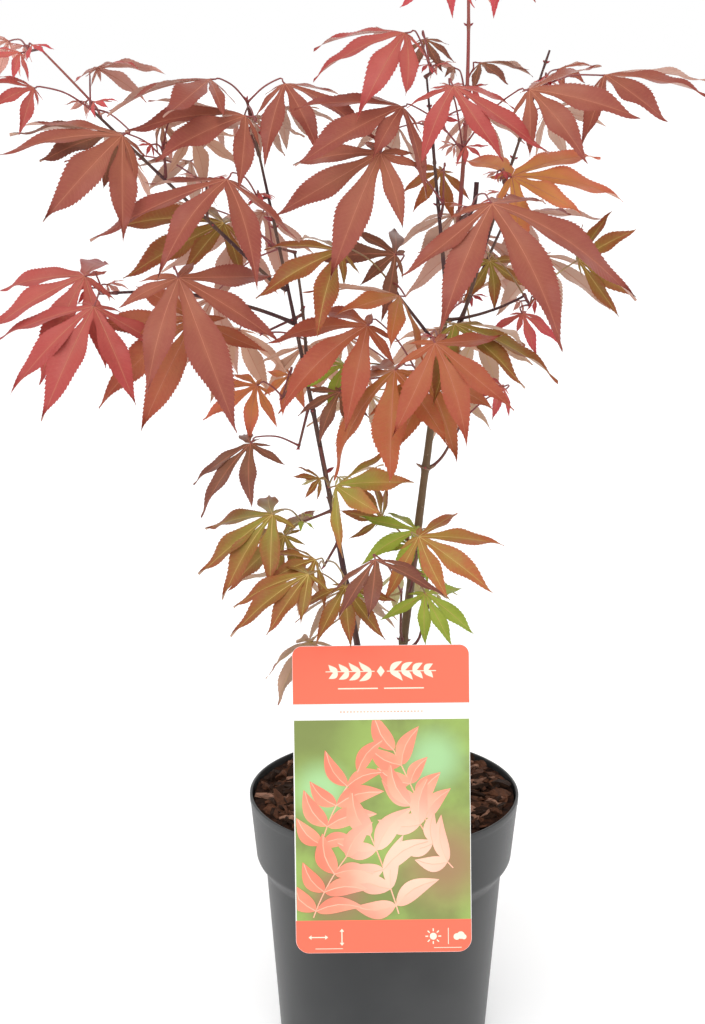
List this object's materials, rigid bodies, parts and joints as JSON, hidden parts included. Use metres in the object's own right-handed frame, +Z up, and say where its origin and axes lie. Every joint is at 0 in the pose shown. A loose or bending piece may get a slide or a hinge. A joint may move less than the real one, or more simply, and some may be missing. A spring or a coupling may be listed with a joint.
{
  "type": "potted japanese maple",
  "caption": "Young japanese maple in autumn colours in a round nursery pot with a picture tag hooked over its rim.",
  "frame": {"origin": "middle of the pot's flat underside", "axes": "+Z up along the pot's axis, -Y towards the side that carries the tag"},
  "size_m": [0.4803, 0.286, 0.7611],
  "materials": {
    "pot_plastic": "satin",
    "growing_mix": "rough",
    "tag_plastic": "satin",
    "olive_bark": "rough",
    "purple_bark": "rough",
    "red_bark": "satin",
    "red_leaf": "satin",
    "orange_leaf": "satin",
    "brown_leaf": "satin",
    "olive_leaf": "satin",
    "green_leaf": "satin",
    "pink_leaf": "satin"
  },
  "bodies": {
    "root": {"pot": "pot_plastic", "soil": "growing_mix", "tag": "tag_plastic", "trunk": "olive_bark", "left_stem": "purple_bark", "upper_stem": "purple_bark", "leader": "red_bark", "right_bough": "purple_bark", "cut_stub": "purple_bark", "right_twig": "purple_bark", "centre_twig": "purple_bark", "left_high_bough": "purple_bark", "left_middle_bough": "purple_bark", "pink_shoot": "red_bark", "back_left_bough": "purple_bark", "back_right_bough": "purple_bark", "back_low_bough": "purple_bark", "foliage_left_top": "red_leaf", "foliage_left_upper": "red_leaf", "foliage_high_tip": "red_leaf", "foliage_pink_tip": "pink_leaf", "foliage_high_middle": "orange_leaf", "foliage_middle_tip": "red_leaf", "foliage_middle_inner": "red_leaf", "foliage_left_low_twig": "brown_leaf", "foliage_left_pale_twig": "pink_leaf", "foliage_left_base_twig": "brown_leaf", "foliage_low_front": "olive_leaf", "foliage_low_centre": "brown_leaf", "foliage_low_right": "orange_leaf", "foliage_low_right_green": "green_leaf", "foliage_stem_middle": "olive_leaf", "foliage_stem_lower_middle": "olive_leaf", "foliage_centre_tip": "brown_leaf", "foliage_centre_low": "orange_leaf", "foliage_centre_front": "red_leaf", "foliage_right_tip": "pink_leaf", "foliage_red_side_twig": "pink_leaf", "foliage_upper_right_node": "red_leaf", "foliage_upper_stem_tip": "red_leaf", "foliage_leader_low": "red_leaf", "foliage_leader_node": "brown_leaf", "foliage_leader_back": "brown_leaf", "foliage_leader_tip": "pink_leaf", "foliage_right_bough_low": "orange_leaf", "foliage_right_bough_high": "brown_leaf", "foliage_back_left_tip": "red_leaf", "foliage_back_left_middle": "orange_leaf", "foliage_back_high": "brown_leaf", "foliage_back_left_top": "red_leaf", "foliage_back_right_tip": "red_leaf", "foliage_back_right_middle": "olive_leaf", "foliage_back_upper": "brown_leaf", "foliage_back_right_high": "brown_leaf", "foliage_back_low_tip": "olive_leaf", "foliage_back_base_left": "olive_leaf", "foliage_back_base_right": "green_leaf"}
  },
  "joints": []
}
